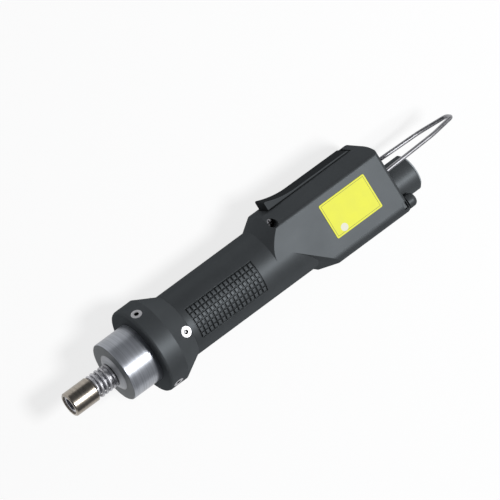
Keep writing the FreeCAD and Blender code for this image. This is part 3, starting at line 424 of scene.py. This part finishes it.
def plain_metal(name, colour, matt=0.35, socket_reach=None):
    """Machined metal with a faint grain.

    With socket_reach, sockets narrower than that get painted shade inside.
    """
    socket_painted_shade = 0.02
    f = Finish(name)
    place = f.place()
    grain = f.noise(place, scale=700.0, detail=4.0, roughness=0.6)
    clouds = f.noise(place, scale=90.0)
    shade = f.clouded(clouds, colour, dark=0.78)
    # Painted shade inside sockets, from ambient occlusion
    if socket_reach is not None:
        shade = f.mixed(f.open_sky(socket_reach), paint(white, socket_painted_shade), shade)
    roughness = varied(matt, grain, 0.2)
    normal = f.bump(grain, strength=0.15, depth=0.015 * mm, normal=f.rounded(0.12 * mm))
    return f.done(Base_Color=shade, Roughness=roughness, Metallic=1.0, Normal=normal)


def inner_plastic(name, colour, matt=0.4):
    """Plastic, ceramic or laminate of the inner parts, with a fine even grain."""
    f = Finish(name)
    place = f.place()
    grain = f.noise(place, scale=1500.0)
    clouds = f.noise(place, scale=80.0, detail=3.0)
    shade = f.clouded(clouds, colour, dark=0.8)
    normal = f.bump(grain, strength=0.15, depth=0.02 * mm, normal=f.rounded(0.15 * mm))
    return f.done(Base_Color=shade, Roughness=varied(matt, clouds, 0.15), Normal=normal)


def printed_film(low, high):
    """Yellow film with a fine printed border and a pale dot, and otherwise left bare."""
    dark_yellow, bright_yellow = (0.80, 0.80, 0.030), (0.85, 0.85, 0.036)
    border_print, dot_print = (0.22, 0.21, 0.03), (0.80, 0.78, 0.62)
    f = Finish("yellow film")
    place = f.place()
    x, y = f.split(place)[:2]

    def within(inset):
        inside = (x > low.x + inset) * (x < high.x - inset)
        return inside * (y > low.y + inset) * (y < high.y - inset)

    clouds = f.noise(place, scale=120.0, detail=3.0)
    shade = f.mixed(clouds.smooth(low=0.3, high=0.7), paint(dark_yellow), paint(bright_yellow))
    border = within(film_border_inset) - within(film_border_inset + film_border_width)
    shade = f.mixed(border, shade, paint(border_print))
    dot_x = x - (low.x + film_dot_x)
    dot_y = y - (low.y + film_dot_y)
    from_dot = (dot_x * dot_x + dot_y * dot_y).maths("SQRT")
    shade = f.mixed(from_dot < film_dot_radius, shade, paint(dot_print))
    grain = f.noise(place, scale=900.0)
    normal = f.bump(grain, strength=0.1, depth=0.01 * mm, normal=f.rounded(0.15 * mm))
    return f.even_sheen(shade, varied(0.55, clouds, 0.1), normal, sheen=0.03)


def stage_floor():
    """A white floor that looks white to the camera and in reflections, and keeps the shadow."""
    glow_share, floor_level = 0.8, 0.95
    f = Finish("floor")
    rays = f.node("ShaderNodeLightPath")
    seen = rays["Is Camera Ray"].maths("MAXIMUM", rays["Is Glossy Ray"])
    seen = seen.maths("MAXIMUM", rays["Is Transmission Ray"])
    matt = f.node("ShaderNodeBsdfDiffuse", {}, {"Color": paint(white, floor_level)})[0]
    glow = f.node("ShaderNodeEmission", {}, {"Color": paint(white), "Strength": 1.0})[0]
    return f.surface(f.node("ShaderNodeMixShader", {}, {0: seen * glow_share, 1: matt, 2: glow})[0])


# Meshes

def from_bmesh(name, bm, material, sharp_degrees=35.0):
    mesh = bpy.data.meshes.new(name)
    bmesh.ops.recalc_face_normals(bm, faces=bm.faces)
    bm.to_mesh(mesh)
    bm.free()
    mesh.shade_smooth()
    mesh.set_sharp_from_angle(angle=math.radians(sharp_degrees))
    mesh.materials.append(material)
    piece = bpy.data.objects.new(name, mesh)
    bpy.context.scene.collection.objects.link(piece)
    return piece


def swept(name, line, radius, material, sides=16):
    """A round wire along a list of points, with flat ends."""
    bm = bmesh.new()
    rings = []
    side = (line[1] - line[0]).normalized().orthogonal().normalized()
    for i, point in enumerate(line):
        before = line[max(i - 1, 0)]
        after = line[min(i + 1, len(line) - 1)]
        ahead = (after - before).normalized()
        side = (side - ahead * side.dot(ahead)).normalized()
        other = ahead.cross(side)
        ring = []
        for k in range(sides):
            angle = 2 * math.pi * k / sides
            spoke = side * (radius * math.cos(angle)) + other * (radius * math.sin(angle))
            ring.append(bm.verts.new(point + spoke))
        rings.append(ring)
    for near, far in zip(rings, rings[1:]):
        for k in range(sides):
            after = (k + 1) % sides
            bm.faces.new((near[k], near[after], far[after], far[k]))
    bm.faces.new(rings[0])
    bm.faces.new(rings[-1])
    return from_bmesh(name, bm, material)


def coil_line(start, end, radius, wire, turns, closed, steps=28):
    """The middle line of a compression spring along X.

    The closed turns at each end lie on each other, and the turns between them are open.
    """
    wire_width = 2 * wire
    open_pitch = (end - start - wire_width - 2 * closed * wire_width) / (turns - 2 * closed)
    points = []
    for i in range(int(turns * steps) + 1):
        turn = i / steps
        closed_so_far = min(turn, closed) + max(0.0, turn - (turns - closed))
        open_so_far = turn - closed_so_far
        along = start + wire + closed_so_far * wire_width + open_so_far * open_pitch
        angle = 2 * math.pi * turn
        points.append(Vector((along, radius * math.sin(angle), radius * math.cos(angle))))
    return points


def rounded_line(points, radii, steps=10):
    """An open line through the points, with each inner corner rounded by its own radius."""
    line = [points[0]]
    for i, radius in enumerate(radii):
        corner = points[i + 1]
        back = (points[i] - corner).normalized()
        ahead = (points[i + 2] - corner).normalized()
        half = back.angle(ahead) / 2
        centre = corner + (back + ahead).normalized() * (radius / math.sin(half))
        first = corner + back * (radius / math.tan(half)) - centre
        last = corner + ahead * (radius / math.tan(half)) - centre
        swing = math.pi - 2 * half
        for k in range(steps + 1):
            share = k / steps
            spoke = first * math.sin((1 - share) * swing) + last * math.sin(share * swing)
            line.append(centre + spoke * (1 / math.sin(swing)))
    return line + [points[-1]]


def stand_for(piece, node):
    """The piece takes the place of a CAD node, and moves with its body."""
    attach(piece, frame["nodes"][node]["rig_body"])
    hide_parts(node)


# Materials of the CAD nodes

label_low, label_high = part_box("rating_label")
ring_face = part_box("torque_ring")[0].x
connector_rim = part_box("connector_shell")[1].x - connector_rim_width
finishes = {
    "black_plastic": moulded_plastic(
        "moulded plastic", level=0.05, sheen=0.029, edge_lightening=1.9, bright_edge_width=0.35 * mm),
    "collar_black": coated_metal("collar coating", level=0.055, matt=0.48, sheen=0.03),
    "polished_steel": turned_metal(
        "polished steel", (0.40, 0.42, 0.46), matt=0.32, ring_strength=0.12,
        painted_shade_face=ring_face, metallic=0.6),
    "dark_chrome": turned_metal("dark chrome", (0.40, 0.36, 0.31), matt=0.3, ring_strength=0.1),
    "spring_steel": drawn_wire("spring steel", (0.74, 0.74, 0.77), matt=0.55),
    "light_alloy": turned_metal("light alloy", (0.33, 0.34, 0.36), matt=0.42),
    "bronze": plain_metal("bronze", (0.55, 0.36, 0.16)),
    "gear_steel": plain_metal("gear steel", (0.42, 0.42, 0.44), matt=0.38),
    "screw_steel": plain_metal(
        "screw steel", (0.52, 0.52, 0.54), matt=0.45, socket_reach=1.6 * mm),
    "magnet": inner_plastic("ferrite", (0.05, 0.05, 0.055), matt=0.6),
    "copper": plain_metal("copper", (0.75, 0.33, 0.17), matt=0.3),
    "carbon": inner_plastic("carbon", (0.03, 0.03, 0.03), matt=0.5),
    "label_yellow": printed_film(label_low, label_high),
    "board_green": inner_plastic("board laminate", (0.02, 0.16, 0.06), matt=0.35),
    "inner_plastic": inner_plastic("switch plastic", (0.05, 0.05, 0.055)),
    "connector_black": coated_metal(
        "connector coating", level=0.055, matt=0.48, sheen=0.034, rim=connector_rim),
    "contact_gold": plain_metal("gold plate", (0.85, 0.58, 0.2), matt=0.2),
    "bail_wire": drawn_wire("bail wire", (0.40, 0.40, 0.42), matt=0.48),
}

own_finishes = {
    # On the lever the strong, wide light edges are mostly a painted highlight
    "start_lever": moulded_plastic(
        "lever plastic", level=0.028, sheen=0.01, edge_lightening=5.0, bright_edge_width=0.8 * mm),
    "spindle": plain_metal("spindle steel", (0.70, 0.70, 0.73), matt=0.5),
    "housing_screws": plain_metal(
        "blackened screw steel", (0.07, 0.07, 0.075), matt=0.5, socket_reach=1.2 * mm),
}

for entry in frame["record"]["subparts"]:
    node = frame["nodes"][entry["node"]]
    node.data.materials.clear()
    node.data.materials.append(own_finishes.get(entry["node"], finishes[entry["material_slot"]]))


# Springs

def spring_coil(node, line):
    coil = swept(node + "_coil", line, spring_wire[node], finishes["spring_steel"])
    stand_for(coil, node)
    return coil


def spring_line(node, start, end, width):
    wire = spring_wire[node]
    radius = width / 2 - wire
    return coil_line(start, end, radius, wire, spring_turns[node], closed_turns[node])


def axial_spring(node):
    """A spring round the axis of the tool."""
    low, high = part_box(node)
    coil = spring_coil(node, spring_line(node, low.x, high.x, high.z - low.z))
    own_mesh(coil)


def lever_spring():
    """The spring that stands under the start lever."""
    low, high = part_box("lever_spring")
    middle = (low + high) / 2
    line = spring_line("lever_spring", low.y, high.y, high.x - low.x)
    upright = [Vector((middle.x + point.y, point.x, middle.z + point.z)) for point in line]
    coil = spring_coil("lever_spring", upright)
    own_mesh(coil)


axial_spring("sleeve_spring")
axial_spring("torque_spring")
lever_spring()


# Balls

def ball(name, centre, radius, node):
    bm = bmesh.new()
    bmesh.ops.create_icosphere(bm, subdivisions=4, radius=radius)
    bmesh.ops.translate(bm, verts=bm.verts, vec=centre)
    stand_for(from_bmesh(name, bm, finishes["gear_steel"]), node)


def middle_of(node):
    low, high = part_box(node)
    return (low + high) / 2


def clutch_balls():
    x = middle_of("clutch_balls").x
    for i in range(clutch_ball_count):
        angle = 2 * math.pi * i / clutch_ball_count
        y = clutch_ball_circle * math.sin(angle)
        z = clutch_ball_circle * math.cos(angle)
        name = "clutch_ball_" + str(i + 1)
        ball(name, Vector((x, y, z)), clutch_ball_radius, "clutch_balls")


clutch_balls()
ball("lock_ball_round", middle_of("lock_ball"), lock_ball_radius, "lock_ball")


# Hanging bail

def hanging_bail():
    """One bent wire, a little thinner than the CAD's faceted one, so that it clears its holes."""
    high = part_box("hanging_bail")[1]
    half_width = high.z - bail_wire
    one_side = [
        Vector((bail_pivot_x, bail_y, half_width - bail_pin_length)),
        Vector((bail_pivot_x, bail_y, half_width)),
        Vector((bail_mid_x, bail_y, bail_mid_half_width)),
        Vector((high.x - bail_wire, bail_y, bail_tip_half_width)),
    ]
    other_side = [Vector((point.x, point.y, -point.z)) for point in reversed(one_side)]
    line = rounded_line(one_side + other_side, bail_bends + bail_bends[::-1])
    radius = bail_wire - bail_slack
    wire = swept("hanging_bail_wire", line, radius, finishes["bail_wire"], sides=24)
    stand_for(wire, "hanging_bail")


hanging_bail()


# Studio

def add_floor(half_width):
    bm = bmesh.new()
    bmesh.ops.create_grid(bm, x_segments=1, y_segments=1, size=half_width)
    floor = from_bmesh("floor", bm, stage_floor())
    floor.location = (looks_at.x, looks_at.y, cad_low.z)


def add_softbox(name, direction, distance, size, watts):
    lamp = bpy.data.lights.new(name, "AREA")
    lamp.shape = "DISK"
    lamp.size = size
    lamp.energy = watts
    box = bpy.data.objects.new(name, lamp)
    bpy.context.scene.collection.objects.link(box)
    toward = Vector(direction).normalized()
    box.location = looks_at + toward * distance
    box.rotation_mode = "QUATERNION"
    box.rotation_quaternion = toward.to_track_quat("Z", "Y")


def add_world(colour):
    world = bpy.data.worlds.new("studio")
    bpy.context.scene.world = world
    world.use_nodes = True
    background = world.node_tree.nodes["Background"]
    background.inputs["Color"].default_value = paint(colour)
    background.inputs["Strength"].default_value = 1.0


add_floor(half_width=14.0)
add_world(colour=(0.10, 0.104, 0.112))
add_softbox("key", direction=(0.30, -0.16, 0.95), distance=1.3, size=0.42, watts=15.0)
add_softbox("rear", direction=(0.9, 0.1, 0.55), distance=1.3, size=0.5, watts=1.0)
